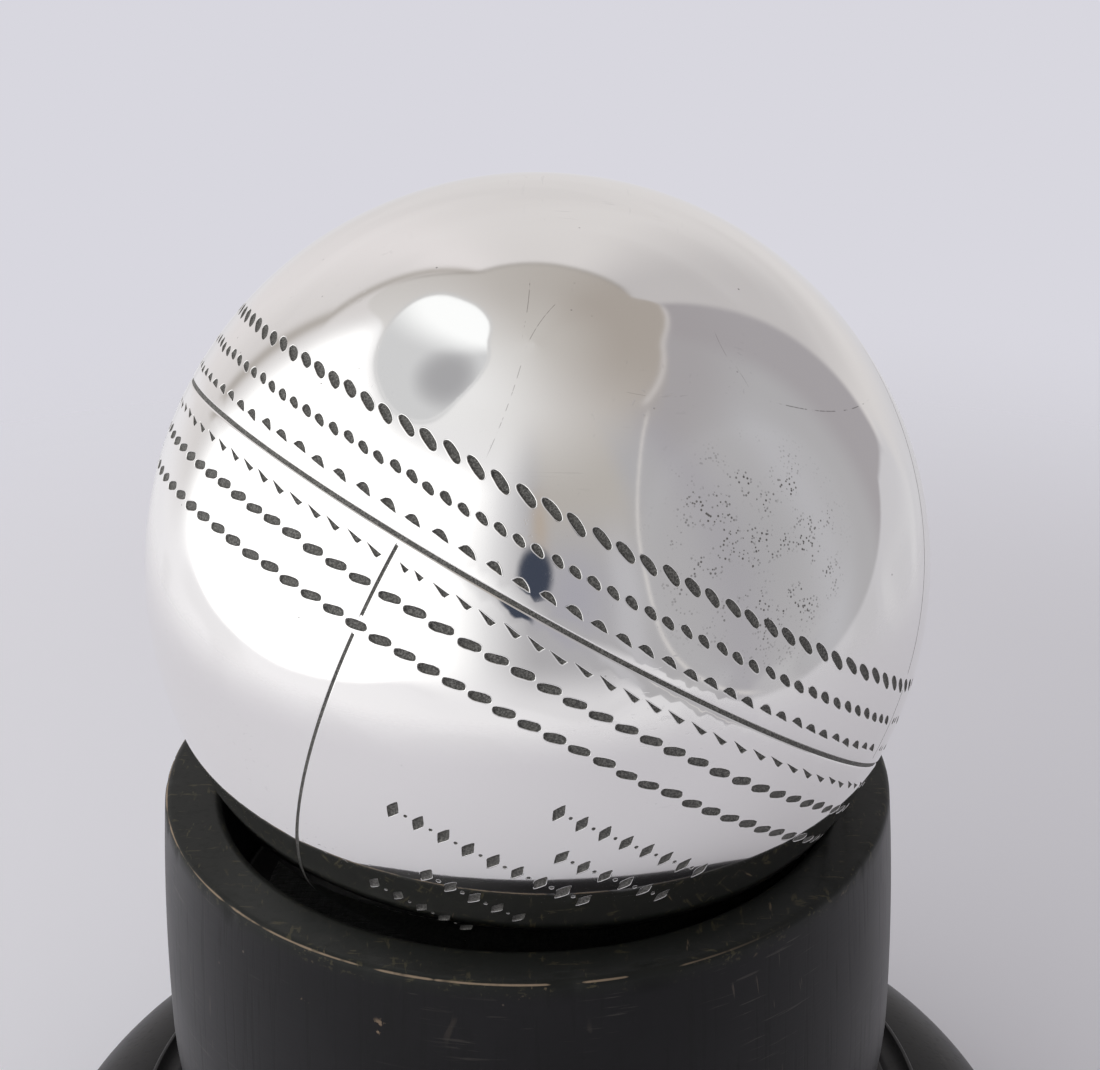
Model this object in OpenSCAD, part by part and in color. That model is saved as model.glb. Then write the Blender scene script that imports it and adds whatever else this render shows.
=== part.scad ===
// A hollow silver presentation cricket ball, lying loose in the recess of a turned wooden plinth.
// Millimetres, +Z up. The origin is the middle of the plinth's underside, on the plinth's axis.
// Seen along +Y, the ball's seam falls from upper left to lower right.

/* [Ball] */
// Outside diameter of the ball
ball_d = 72; // [71.3:0.1:72.9]
// Thickness of the silver sheet
sheet = 0.9; // [0.7:0.1:1.1]
// Lean of the seam's axis from the vertical, in degrees
seam_lean = 35.3; // [30:0.1:40]
// Compass direction that the seam's axis leans to, in degrees from +X
seam_heading = 31; // [0:1:360]
// Turn of the ball about the seam's own axis, in degrees
seam_turn = -129; // [-180:1:180]

/* [Seam] */
// Width of the solder line between the two hemispheres
solder_w = 0.4; // [0.3:0.05:0.6]
// Depth of the solder line below the surface
solder_dip = 0.12; // [0.05:0.01:0.2]
// Height of the inner band that joins the hemispheres
band_h = 8; // [6:0.5:12]
// Width of the engraved quarter seams
quarter_w = 0.3; // [0.2:0.05:0.5]
// Depth of the quarter seams and of the stitch marks
cut_depth = 0.15; // [0.1:0.01:0.2]
// Longitude of the upper quarter seam, in degrees round the ball
upper_quarter = 72; // [0:1:180]
// Longitude of the lower quarter seam, in degrees round the ball
lower_quarter = -17; // [-90:1:90]

/* [Vent] */
// Diameter of the vent hole at the lower pole
vent_d = 2; // [1.5:0.1:3]
// Height of the plug's flange inside the shell
plug_flange = 0.8; // [0.5:0.1:1.5]

/* [Plinth] */
// Height of the column's flat rim above the table
rim_h = 58; // [54:1:64]
// Height of the ball's centre above the rim
ball_rise = 22; // [20:0.5:24]
// How far the ball lies to the right of the plinth's axis
ball_shift = 1.2; // [0:0.1:1.4]
// Radius of the column at its rim
rim_r = 34.8; // [34:0.1:36]
// Radius of the column at its widest
belly_r = 35.8; // [35:0.1:38]
// Depth of the column's widest level below the rim
belly_drop = 24; // [20:1:28]
// Radius of the recess that holds the ball
recess_r = 29.4; // [29:0.1:30.4]
// Radius of the recess's rounded lip
lip_r = 1.2; // [1:0.1:3]
// Thickness of the loose felt disc under the ball
felt_t = 1; // [0.6:0.1:1.5]
// Radius of the felt disc
felt_r = 27.5; // [24:0.5:28]

/* [Foot] */
// Radius of the foot at its widest
foot_r = 52.2; // [50:0.1:56]
// Radius of the foot's ring edge, above the ovolo
ring_r = 40.6; // [39:0.1:42]
// Depth of the ring edge below the rim
ring_drop = 40; // [39:0.5:41]
// Height of the ovolo moulding
ovolo_h = 10; // [8:0.5:11]
// Radius of the neck between the column and the foot
neck_r = 31.6; // [30:0.1:33]
// Thickness of the baize under the foot
baize_t = 1; // [0.6:0.1:1.5]

/* [Joinery] */
// Radius of the column's spigot
spigot_r = 12; // [10:0.5:14]
// Length of the column's spigot
spigot_h = 12; // [8:0.5:14]
// Diameter of the wood screw's shank
screw_d = 4.2; // [3.5:0.1:5]
// Length of the wood screw
screw_h = 28; // [24:1:32]

/* [Hidden] */
$fn = 96;
// Nothing, except to make a cutter pass clean through a face
eps = 0.02;
// Clearance between turned wooden parts and round the screw, and between the ball and its felt
fit = 0.06;
seat_gap = 0.1;

ball_r = ball_d / 2;
bore_r = ball_r - sheet;
ball_z = rim_h + ball_rise;
felt_z = ball_z - ball_r - seat_gap - felt_t;
recess_floor = felt_z;
belly_z = rim_h - belly_drop;
neck_z = rim_h - ring_drop + 3;
ring_z = rim_h - ring_drop;
ring_step = 2.8;
edge_r = 0.7;
band_t = 0.9;

// Stitch rows: latitude, number of marks, length, width, slant from the seam line in degrees
upper_rows = [[12.4, 102, 2.4, 0.72, -24], [7.1, 124, 1.6, 0.6, -22], [2.9, 100, 1.5, 0.5, -7]];
lower_rows = [[-3.1, 101, 1.6, 0.5, -7], [-7.3, 91, 2.1, 0.7, 14], [-12.8, 90, 2.2, 0.75, 15]];

silver = [0.86, 0.86, 0.87];
oxide = [0.25, 0.25, 0.26];
ebony = [0.13, 0.12, 0.13];
felt_green = [0.08, 0.2, 0.13];
steel = [0.55, 0.55, 0.56];

// Points along an arc about (x, y), from angle a to angle b, in n steps
function arc(x, y, rx, ry, a, b, n) =
    [for (i = [0:n]) let (t = a + (b - a) * i / n) [x + rx * cos(t), y + ry * sin(t)]];

// Places its children in the ball's own frame: the seam's axis is +Z, longitude 0 is +X
module in_ball() {
    translate([ball_shift, 0, ball_z])
        rotate([0, seam_lean, seam_heading])
            rotate([0, 0, seam_turn])
                children();
}

// The half of space above the seam, less half the solder line
module above_seam() {
    translate([-ball_d, -ball_d, solder_w / 2])
        cube([2 * ball_d, 2 * ball_d, ball_d]);
}

// A thin disc edge that engraves a quarter seam over the pole, at the given longitude
module quarter_cut(longitude) {
    rotate([0, 0, longitude])
        rotate([90, 0, 0])
            difference() {
                cylinder(r = ball_r + 1, h = quarter_w, center = true);
                cylinder(r = ball_r - cut_depth, h = quarter_w + 1, center = true);
            }
}

// One engraved stitch: a shallow trough along the surface, cut by a small round bar
module stitch_cut(latitude, long, wide, slant) {
    bar_r = (wide * wide / 4 + cut_depth * cut_depth) / (2 * cut_depth);
    rotate([0, -latitude, 0])
        translate([ball_r + bar_r - cut_depth, 0, 0])
            rotate([slant, 0, 0])
                rotate([90, 0, 0])
                    cylinder(r = bar_r, h = long, center = true, $fn = 24);
}

// Three rows of stitches, each right round the ball
module stitch_rows(rows) {
    for (row = rows)
        for (i = [1:row[1]])
            rotate([0, 0, i * 360 / row[1]])
                stitch_cut(row[0], row[2], row[3], row[4]);
}

// A hollow hemisphere of sheet silver, open at the seam
module hemisphere() {
    intersection() {
        difference() {
            sphere(r = ball_r);
            sphere(r = bore_r);
        }
        above_seam();
    }
}

module upper_shell() {
    color(silver)
        in_ball()
            difference() {
                hemisphere();
                quarter_cut(upper_quarter);
                stitch_rows(upper_rows);
            }
}

module lower_shell() {
    color(silver)
        in_ball()
            difference() {
                mirror([0, 0, 1]) hemisphere();
                quarter_cut(lower_quarter);
                stitch_rows(lower_rows);
                translate([0, 0, -ball_r - 1])
                    cylinder(d = vent_d, h = sheet + 2);
            }
}

// The lap band inside the seam: both hemispheres are pushed over it and soldered
module joining_band() {
    color(silver)
        in_ball()
            intersection() {
                difference() {
                    sphere(r = bore_r);
                    sphere(r = bore_r - band_t);
                }
                translate([-ball_d, -ball_d, -band_h / 2])
                    cube([2 * ball_d, 2 * ball_d, band_h]);
            }
}

// The ring of silver solder that fills the gap between the hemispheres
module solder_line() {
    color(oxide)
        in_ball()
            intersection() {
                difference() {
                    sphere(r = ball_r - solder_dip);
                    sphere(r = bore_r);
                }
                translate([-ball_d, -ball_d, -solder_w / 2])
                    cube([2 * ball_d, 2 * ball_d, solder_w]);
            }
}

// The plug that closes the vent hole, with its flange inside the shell
module vent_plug() {
    plug_r = vent_d / 2 - fit / 3;
    flange_dip = 0.1;
    color(silver)
        in_ball()
            mirror([0, 0, 1]) {
                translate([0, 0, bore_r - plug_flange - flange_dip])
                    cylinder(r = 2 * plug_r, h = plug_flange);
                translate([0, 0, bore_r - plug_flange])
                    cylinder(r = plug_r, h = plug_flange + sheet - flange_dip);
            }
}

// The loose disc of felt that the ball stands on
module felt_disc() {
    color(felt_green)
        translate([ball_shift, 0, felt_z])
            cylinder(r = felt_r, h = felt_t);
}

// The drum of the plinth: it swells slightly, then rounds in under the belly to the neck
module plinth_column() {
    swell = belly_r - rim_r;
    belly_h = rim_h - belly_z;
    outline = concat(
        [[0, neck_z], [neck_r, neck_z]],
        arc(neck_r, belly_z, belly_r - neck_r, belly_z - neck_z, -90, 0, 12),
        [for (i = [1:7]) [belly_r - swell * pow(i / 8, 2), belly_z + belly_h * i / 8]],
        arc(rim_r - edge_r, rim_h - edge_r, edge_r, edge_r, 0, 90, 4),
        arc(recess_r + lip_r, rim_h - lip_r, lip_r, lip_r, 90, 180, 8),
        [[recess_r, recess_floor], [0, recess_floor]]
    );
    pilot_h = screw_h + baize_t + 1 - neck_z + spigot_h;
    color(ebony)
        difference() {
            union() {
                rotate_extrude() polygon(outline);
                translate([0, 0, neck_z - spigot_h])
                    cylinder(r = spigot_r, h = spigot_h + 1);
            }
            translate([0, 0, neck_z - spigot_h - eps])
                cylinder(d = screw_d + 2 * fit, h = pilot_h);
        }
}

// The moulded foot: neck fillet, cove, ring edge, ovolo and plain band, with a socket on top
module plinth_foot() {
    fillet_r = 37.2;
    fillet_z = ring_z + 0.5;
    cove_dip = 0.9;
    ovolo_r = ring_r + 0.6;
    ovolo_z = ring_z - ring_step;
    base_r = foot_r - 0.8;
    outline = concat(
        [[0, baize_t], [base_r, baize_t]],
        arc(foot_r - 0.8, baize_t + 0.8, 0.8, 0.8, -45, 0, 2),
        arc(ovolo_r, ovolo_z - ovolo_h, foot_r - ovolo_r, ovolo_h, 0, 90, 16),
        [[ring_r, ovolo_z + 0.4], [ring_r, ring_z - 0.4], [ring_r - 0.4, ring_z]],
        [for (i = [1:5])
            let (u = i / 6)
            [ring_r - 0.4 - u * (ring_r - 0.4 - fillet_r), ring_z - cove_dip * sin(180 * u)]],
        [[fillet_r, fillet_z - 0.3], [fillet_r - 0.3, fillet_z]],
        arc(fillet_r - 0.3, neck_z, fillet_r - 0.3 - neck_r - 1.2, neck_z - fillet_z, -90, -180, 8),
        [[0, neck_z]]
    );
    socket_h = spigot_h + 0.5;
    head_h = 3;
    color(ebony)
        difference() {
            rotate_extrude() polygon(outline);
            translate([0, 0, neck_z - socket_h])
                cylinder(r = spigot_r + fit, h = socket_h + 1);
            translate([0, 0, baize_t - eps])
                cylinder(d = screw_d + 0.6, h = neck_z);
            translate([0, 0, baize_t - eps])
                cylinder(r1 = screw_d + 0.3, r2 = screw_d / 2 + 0.3, h = head_h);
        }
}

// The countersunk wood screw that pulls the foot onto the column
module foot_screw() {
    head_r = screw_d;
    head_h = 2.4;
    slot_w = 1;
    slot_h = 1.2;
    tip_h = 5;
    head_z = baize_t + 0.3;
    color(steel)
        translate([0, 0, head_z])
            difference() {
                union() {
                    cylinder(r1 = head_r, r2 = screw_d / 2, h = head_h);
                    cylinder(d = screw_d, h = screw_h - tip_h);
                    translate([0, 0, screw_h - tip_h])
                        cylinder(r1 = screw_d / 2, r2 = 0.3, h = tip_h);
                }
                translate([-head_r - 1, -slot_w / 2, -1])
                    cube([2 * head_r + 2, slot_w, slot_h + 1]);
            }
}

// The baize under the foot, which covers the screw
module baize_pad() {
    color(felt_green)
        cylinder(r = foot_r - 2, h = baize_t);
}

upper_shell();
lower_shell();
joining_band();
solder_line();
vent_plug();
felt_disc();
plinth_column();
plinth_foot();
foot_screw();
baize_pad();
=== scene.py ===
"""A hollow silver presentation cricket ball on its turned black plinth, in a soft white studio."""
import math
import random

import bpy
from mathutils import Matrix, Vector, kdtree, noise
from mathutils.geometry import delaunay_2d_cdt


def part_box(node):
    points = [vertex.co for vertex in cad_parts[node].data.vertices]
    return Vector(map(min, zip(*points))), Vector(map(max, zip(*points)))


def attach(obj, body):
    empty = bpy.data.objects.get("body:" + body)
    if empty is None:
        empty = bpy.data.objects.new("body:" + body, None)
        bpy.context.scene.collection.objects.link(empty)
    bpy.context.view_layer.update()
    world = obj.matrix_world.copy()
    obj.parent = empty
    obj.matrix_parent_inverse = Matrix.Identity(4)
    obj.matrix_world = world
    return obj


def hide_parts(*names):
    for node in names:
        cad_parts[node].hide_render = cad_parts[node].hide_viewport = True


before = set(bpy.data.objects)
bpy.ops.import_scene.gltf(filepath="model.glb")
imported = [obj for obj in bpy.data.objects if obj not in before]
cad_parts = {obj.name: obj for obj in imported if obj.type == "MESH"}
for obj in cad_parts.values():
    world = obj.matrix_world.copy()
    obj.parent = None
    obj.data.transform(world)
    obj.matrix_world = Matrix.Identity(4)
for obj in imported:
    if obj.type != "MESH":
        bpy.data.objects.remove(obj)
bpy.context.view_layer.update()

MM = 0.001
random.seed(36)

# ---- sizes, in millimetres, from the frame
column_lo, column_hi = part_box("plinth_column")
foot_lo, foot_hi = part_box("plinth_foot")
felt_lo, felt_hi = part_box("felt_disc")
baize_lo, baize_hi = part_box("baize_pad")

BALL_R = 36.0
SHEET = 0.9
BORE_R = BALL_R - SHEET
OVER_FELT = 0.1
BALL_X = (felt_lo.x + felt_hi.x) / 2 / MM
BALL_Z = felt_hi.z / MM + OVER_FELT + BALL_R
SEAM_LEAN, SEAM_HEADING, SEAM_TURN = 35.3, 31.0, -129.0
SOLDER_HALF = 0.2

BALL = (
    Matrix.Translation((BALL_X, 0, BALL_Z))
    @ Matrix.Rotation(math.radians(SEAM_HEADING), 4, "Z")
    @ Matrix.Rotation(math.radians(SEAM_LEAN), 4, "Y")
    @ Matrix.Rotation(math.radians(SEAM_TURN), 4, "Z")
)


# ---- node helpers
class Field:
    """A number that varies from point to point: a node socket with the usual arithmetic."""

    def __init__(self, tree, socket):
        self.tree = tree
        self.socket = socket

    def op(self, operation, *others):
        node = self.tree.nodes.new("ShaderNodeMath")
        node.operation = operation
        for i, value in enumerate((self, *others)):
            plug(self.tree, value, node.inputs[i])
        return Field(self.tree, node.outputs[0])

    def __add__(self, other):
        return self.op("ADD", other)

    def __sub__(self, other):
        return self.op("SUBTRACT", other)

    def __mul__(self, other):
        return self.op("MULTIPLY", other)

    def __truediv__(self, other):
        return self.op("DIVIDE", other)

    def __pow__(self, other):
        return self.op("POWER", other)

    def flipped(self):
        return self * -1 + 1

    def rise(self, low, high):
        """0 below low, 1 above high, and smooth between them."""
        node = self.tree.nodes.new("ShaderNodeMapRange")
        node.interpolation_type = "SMOOTHSTEP"
        for name, value in (("Value", self), ("From Min", low), ("From Max", high)):
            plug(self.tree, value, node.inputs[name])
        return Field(self.tree, node.outputs["Result"])

    def fall(self, low, high):
        return self.rise(low, high).flipped()

    def within(self, low, high, soft):
        """1 between low and high, with soft edges."""
        return self.rise(low - soft, low + soft) * self.fall(high - soft, high + soft)

    def peak(self, middle, width):
        """A bell about the middle."""
        return (((self - middle) / width) ** 2 * -1).op("EXPONENT")


def plug(tree, value, socket):
    """Links a field or socket to an input, or sets the input's own value."""
    if isinstance(value, Field):
        tree.links.new(value.socket, socket)
    elif isinstance(value, bpy.types.NodeSocket):
        tree.links.new(value, socket)
    else:
        socket.default_value = value


def add(tree, kind, settings=None, **inputs):
    """A new node with its settings and inputs. An input's name has _ for a space."""
    node = tree.nodes.new(kind)
    for name, value in (settings or {}).items():
        setattr(node, name, value)
    for name, value in inputs.items():
        plug(tree, value, node.inputs[name.replace("_", " ")])
    return node


def shade(value):
    """An sRGB grey or colour from 10 to 255, as linear light."""
    channels = value if isinstance(value, tuple) else (value,) * 3
    return tuple(((c / 255 + 0.055) / 1.055) ** 2.4 for c in channels)


def vector_op(tree, operation, first, second=(0, 0, 0)):
    """A number from a vector field and a constant vector."""
    node = add(tree, "ShaderNodeVectorMath", {"operation": operation})
    tree.links.new(first, node.inputs[0])
    node.inputs[1].default_value = second
    return Field(tree, node.outputs["Value"])


# The Mix node's sockets for colours: its two inputs and its output
MIX_A, MIX_B, MIX_RESULT = 6, 7, 2


def paint(tree, base, colour, mask):
    """base, painted over with the colour where the mask is 1."""
    node = tree.nodes.new("ShaderNodeMix")
    node.data_type = "RGBA"
    plug(tree, mask, node.inputs["Factor"])
    for socket, value in ((node.inputs[MIX_A], base), (node.inputs[MIX_B], colour)):
        plug(tree, (*value, 1) if isinstance(value, tuple) else value, socket)
    return node.outputs[MIX_RESULT]


# ---- camera, light and floor
def make_camera():
    """The photograph's viewing angle: place from the ball's centre, angles in degrees."""
    offset = Vector((1.84, -198.72, 98.46))
    pitch, heading, roll = 25.66, 0.197, -0.458
    lens, sensor = 78.18, 36
    data = bpy.data.cameras.new("camera")
    data.lens = lens
    data.sensor_width = sensor
    data.clip_start = 0.01
    camera = bpy.data.objects.new("camera", data)
    bpy.context.scene.collection.objects.link(camera)
    camera.matrix_world = (
        Matrix.Translation((Vector((BALL_X, 0, BALL_Z)) + offset) * MM)
        @ Matrix.Rotation(math.radians(heading), 4, "Z")
        @ Matrix.Rotation(math.radians(90 - pitch), 4, "X")
        @ Matrix.Rotation(math.radians(roll), 4, "Z")
    )
    bpy.context.scene.camera = camera


SILVER_TONE = 0.93
BACKDROP = shade((216, 215, 223))
WINDOW_GAIN = 1.35
DEGREES = 180 / math.pi


def seen(value):
    """Light that looks like this value in the silver."""
    return tuple(c / SILVER_TONE for c in shade(value))


class Room:
    """The light from every direction, painted tone by tone as the silver mirrors it.

    Directions are in degrees: around is 0 on the camera's side and grows to the left, to 180 at the back,
    and height is 0 at the horizon and 90 overhead.
    """

    def __init__(self, tree):
        self.tree = tree
        self.way = add(tree, "ShaderNodeTexCoord").outputs["Generated"]
        split = add(tree, "ShaderNodeSeparateXYZ", Vector=self.way)
        x, y, z = (Field(tree, s) for s in split.outputs)
        self.around = (x * -1).op("ARCTAN2", y * -1) * DEGREES
        self.height = z.op("ARCSINE") * DEGREES
        self.colour = seen((170, 169, 172))

    def tone(self, value, mask):
        """Paints this value, as it looks in the silver, where the mask is 1."""
        self.colour = paint(self.tree, self.colour, seen(value), mask)

    def towards(self, side, sharpness=1.0):
        """1 facing that side, falling to 0 on the far side."""
        return (((self.around - side) / DEGREES).op("COSINE") * 0.5 + 0.5) ** sharpness

    def oval(self, middle, reach, power=2.0):
        """0 in the middle of an oval of directions and 1 on its outline. A higher power is squarer."""
        across = ((self.around - middle[0]) / reach[0]).op("ABSOLUTE") ** power
        upward = ((self.height - middle[1]) / reach[1]).op("ABSOLUTE") ** power
        return across + upward

    def bowl(self, middle, reach, depth, lowest):
        """The height of a line that sags to its lowest in the middle."""
        return ((self.around - middle) / reach) ** 2 * depth + lowest


def make_studio_light():
    """A soft tent round the object. The camera itself sees a plain backdrop."""
    world = bpy.data.worlds.new("studio")
    bpy.context.scene.world = world
    world.use_nodes = True
    tree = world.node_tree
    tree.nodes.clear()
    room = Room(tree)
    for part in (right_wall, back_and_left, ceiling, bright_oval, table_cloth, crumple, photographer):
        part(room, room.around, room.height)
    path = add(tree, "ShaderNodeLightPath")
    colour = paint(tree, room.colour, BACKDROP, path.outputs["Is Camera Ray"])
    background = add(tree, "ShaderNodeBackground", Color=colour)
    output = add(tree, "ShaderNodeOutputWorld")
    tree.links.new(background.outputs[0], output.inputs["Surface"])


def right_wall(room, around, height):
    """The grey wall, with a door, a darker panel and the pale frame round it."""
    room.tone((176, 172, 168), around.within(-34, -1, 6) * height.rise(20, 46))
    room.tone((162, 160, 166), around.peak(-58, 9) * 0.7)
    room.tone((158, 154, 158), around.fall(-119, -108) * 0.8)
    room.tone((183, 183, 188), around.peak(-90, 9) * 0.6 * height.fall(25, 50))
    room.tone((157, 153, 156), around.fall(-70, -50) * height.rise(34, 54) * 0.7)
    room.tone((201, 201, 207), around.within(-30, -22, 3) * height.fall(20, 42) * 0.35)
    frame_line = room.oval((-82, 19), (49, 40), 2.4).peak(1.02, 0.03)
    room.tone((206, 203, 202), frame_line * around.rise(-66, -58) * 0.8)


def back_and_left(room, around, height):
    """The pale back, the white window on the left and the dark corner between them."""
    behind = around.rise(-168, -142) * height.rise(-4, 22)
    back = paint(room.tree, seen((211, 208, 208)), seen((187, 184, 185)), behind)
    room.colour = paint(room.tree, room.colour, back, around.fall(-133.5, -130.5))
    room.tone((229, 229, 231), around.rise(-1, 19))
    window = around.rise(12, 34) * around.fall(112, 130) * height.fall(44, 54)
    glare = tuple(WINDOW_GAIN * c for c in seen(255))
    room.colour = paint(room.tree, room.colour, glare, window)
    room.tone((211, 208, 208), around.rise(117, 132))
    room.tone((224, 220, 221), around.peak(155, 12) * 0.8)
    corner = around - (height - 34).op("MAXIMUM", 0) - 129
    room.tone((168, 163, 158), corner.peak(2, 2.6) * height.within(6, 62, 5) * 0.85)


def ceiling(room, around, height):
    """Warm and darker on the right. Its edge is sharp only at the back."""
    backward = around.op("ABSOLUTE")
    overhead = paint(room.tree, seen((164, 157, 151)), seen((230, 230, 231)), room.towards(60, 1.5))
    overhead = paint(room.tree, overhead, seen((181, 177, 173)), backward.rise(140, 175) * 0.5)
    overhead = paint(room.tree, overhead, seen((194, 191, 188)), height.rise(68, 92) * 0.85)
    soft = room.towards(0, 3) * 17 + 0.7
    low = around.rise(35, 70) * around.fall(140, 160) * 8 + around.peak(134, 9) * 9
    low = low + around.rise(-138, -131) * around.fall(-131, -104) * 5
    edge = (height - 60 + low).rise(soft * -1, soft * 0.6)
    room.colour = paint(room.tree, room.colour, overhead, edge)
    brim = (height + low).peak(59.6, 0.8)
    room.tone((140, 135, 129), brim * backward.rise(136, 146) * 0.55)
    room.tone((196, 192, 191), brim * around.within(-131, -64, 4) * 0.7)


def bright_oval(room, around, height):
    """The oval high on the left: pale rim, grey inside with a darker core, white on its upper left."""
    outline = room.oval((97, 65.5), (43, 13.5), 3.2)
    room.tone((196, 197, 199), outline.peak(1.03, 0.10) * 0.6)
    inside = outline.fall(0.86, 1.0)
    room.tone((203, 204, 206), inside)
    room.tone((163, 163, 166), room.oval((73, 67), (25, 8.5)).fall(0.0, 1.3) * inside)
    wedge = (around + height * 1.7 - 119).rise(86, 112)
    room.tone((251, 253, 254), wedge * inside)


def table_cloth(room, around, height):
    """The white cloth beyond the floor's own disc: brighter on the left."""
    cloth = paint(room.tree, seen((194, 193, 197)), seen((240, 239, 242)), room.towards(78))
    right = around.within(-134, -22, 6)
    window = around.within(30, 118, 12)
    elsewhere = right.flipped() * window.flipped()
    edge = room.bowl(-68, 50, 16, -21) * right
    edge = edge + room.bowl(76, 44, 7, -15) * right.flipped() * window - elsewhere * 8
    edge = edge.op("MINIMUM", -2)
    soft = elsewhere * 7 + 0.9
    room.colour = paint(room.tree, room.colour, cloth, (edge - height).rise(soft * -1, soft))


def crumple(room, around, height):
    """The faint folds of the white cloths on the table and at the back."""
    tree = room.tree
    way = add(tree, "ShaderNodeMapping", Vector=room.way, Rotation=(0.3, 0.5, 0.2), Scale=(2.0, 2.6, 4.5))
    broad = add(tree, "ShaderNodeTexNoise", Vector=way.outputs[0], Scale=1.0, Detail=0.0, Distortion=0.4)
    folds = ((Field(tree, broad.outputs["Fac"]) - 0.5) * 8).op("SINE")
    table = height.fall(-16, -8)
    back = around.op("ABSOLUTE").rise(128, 140) * height.fall(40, 56)
    where = table * 1.6 + back * 0.7
    colour = paint(tree, room.colour, (0.35, 0.34, 0.34), folds.rise(0.2, 1.0) * where * 0.07)
    room.colour = paint(tree, colour, (1.0, 1.0, 1.0), folds.fall(-1.0, -0.2) * where * 0.06)


def photographer(room, around, height):
    """The dark soft shape in front, with its haze and a warm streak above."""
    room.tone((161, 160, 170), around.peak(-11, 9) * height.peak(17, 13) * 0.75)
    room.tone((176, 160, 142), around.peak(-1.2, 2.8) * height.within(30, 44, 7) * 0.6)
    room.tone((60, 66, 80), room.oval((0.5, 23.5), (5.6, 8)).fall(0.45, 1.3))


def make_floor():
    """A pale disc under the plinth, which fades into the backdrop. Painted shade makes its colour a little
    darker on the right.
    """
    solid, gone = 150, 300
    mesh = lathe_mesh("floor", [(0, 0), (60, 0), (100, 0), (solid, 0), (gone, 0)], 96)
    material, tree, surface = new_material("pale_floor")
    spot = add(tree, "ShaderNodeTexCoord").outputs["Object"]
    fade = vector_op(tree, "LENGTH", spot).rise(solid * MM, gone * MM * 0.98)
    across = add(tree, "ShaderNodeSeparateXYZ", Vector=spot)
    # Painted shade: the floor's colour darkens towards the right, away from the light.
    painted_shade_right = Field(tree, across.outputs["X"]).rise(-0.12, 0.12)
    colour = paint(tree, (0.945, 0.945, 1.0), (0.80, 0.795, 0.845), painted_shade_right)
    diffuse = add(tree, "ShaderNodeBsdfDiffuse", Color=colour)
    clear = add(tree, "ShaderNodeBsdfTransparent")
    mix = add(tree, "ShaderNodeMixShader", Fac=fade)
    tree.links.new(diffuse.outputs[0], mix.inputs[1])
    tree.links.new(clear.outputs[0], mix.inputs[2])
    tree.links.new(mix.outputs[0], surface)
    floor = place("floor", mesh, [material])


# ---- mesh helpers, in millimetres
def place(name, mesh, materials):
    """An object for the mesh, in the scene."""
    obj = bpy.data.objects.new(name, mesh)
    bpy.context.scene.collection.objects.link(obj)
    for material in materials:
        mesh.materials.append(material)
    return obj


def build_mesh(name, points, faces, slots=None, normals=None):
    """A smooth mesh from points in millimetres."""
    mesh = bpy.data.meshes.new(name)
    mesh.from_pydata([tuple(c * MM for c in p) for p in points], [], faces)
    mesh.polygons.foreach_set("use_smooth", [True] * len(mesh.polygons))
    if slots is not None:
        mesh.polygons.foreach_set("material_index", slots)
    mesh.update()
    if normals is not None:
        mesh.normals_split_custom_set_from_vertices(normals)
    return mesh


SHARP_EDGE = math.radians(38)


def lathe_mesh(name, outline, sides, wobble=None, closed=False):
    """Turns an outline of (radius, height) round Z. wobble(angle, r, z) gives a change to both."""
    points = []
    rows = []
    for r, z in outline:
        if r < 1e-6:
            rows.append([len(points)] * sides)
            points.append((0, 0, z))
            continue
        rows.append(list(range(len(points), len(points) + sides)))
        for i in range(sides):
            angle = 2 * math.pi * i / sides
            dr, dz = wobble(angle, r, z) if wobble else (0, 0)
            points.append(((r + dr) * math.cos(angle), (r + dr) * math.sin(angle), z + dz))
    faces = []
    if closed:
        rows.append(rows[0])
    for a, b in zip(rows, rows[1:]):
        for i in range(sides):
            j = (i + 1) % sides
            corners = [a[i], a[j], b[j], b[i]]
            face = [c for n, c in enumerate(corners) if c not in corners[:n]]
            if len(face) > 2:
                faces.append(face)
    mesh = build_mesh(name, points, faces)
    mesh.set_sharp_from_angle(angle=SHARP_EDGE)
    return mesh


def arc(x, y, rx, ry, start, end, steps):
    """Points along an arc about (x, y)."""
    turns = [math.radians(start + (end - start) * i / steps) for i in range(steps + 1)]
    return [(x + rx * math.cos(t), y + ry * math.sin(t)) for t in turns]


def new_material(name):
    """An empty node material and its surface socket."""
    material = bpy.data.materials.new(name)
    material.use_nodes = True
    tree = material.node_tree
    tree.nodes.clear()
    output = add(tree, "ShaderNodeOutputMaterial")
    return material, tree, output.inputs["Surface"]


# ---- the silver shells
# Each row: latitude, number of marks, longitude of the first, and the engraver's slow drift:
# its size in degrees, its waves round the ball and where they start
ROWS = {
    "long_grain": (12.4, 102, 1.04, 0.8, 5, 60),
    "short_grain": (7.1, 124, -0.28, 2.2, 2, 195),
    "half_moon": (2.7, 100, 1.17, 2.2, 3, 60),
    "drop": (-3.2, 101, 1.55, 1.0, 3, 210),
    "near_oval": (-7.3, 91, 0.93, 0.4, 6, 105),
    "far_oval": (-12.75, 90, 1.38, 2.2, 2, 165),
}
# The drift at a mark depends on where the mark ends up, so it is worked out in this many rounds
DRIFT_ROUNDS = 6
# Each kind of mark: length, width, slant from the seam line, points round it
MARKS = {
    "long_grain": (2.5, 0.8, -24.5, 20),
    "short_grain": (1.62, 0.66, -22, 16),
    "half_moon": (1.7, 0.58, -7, 16),
    "drop": (1.9, 0.62, -7, 16),
    "near_oval": (2.15, 0.76, 14.5, 20),
    "far_oval": (2.25, 0.8, 15.5, 20),
}
# The longest marks lean so much that each starts beside the end of the one before
MARKS_OVERLAP = {"long_grain": 1.11}
# The rows that the quarter seam runs through. The others' marks move aside, most of the way to this gap
OUTER_ROWS = ("far_oval", "long_grain")
BESIDE_SEAM, ASIDE_SHARE = 0.42, 0.95
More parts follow.
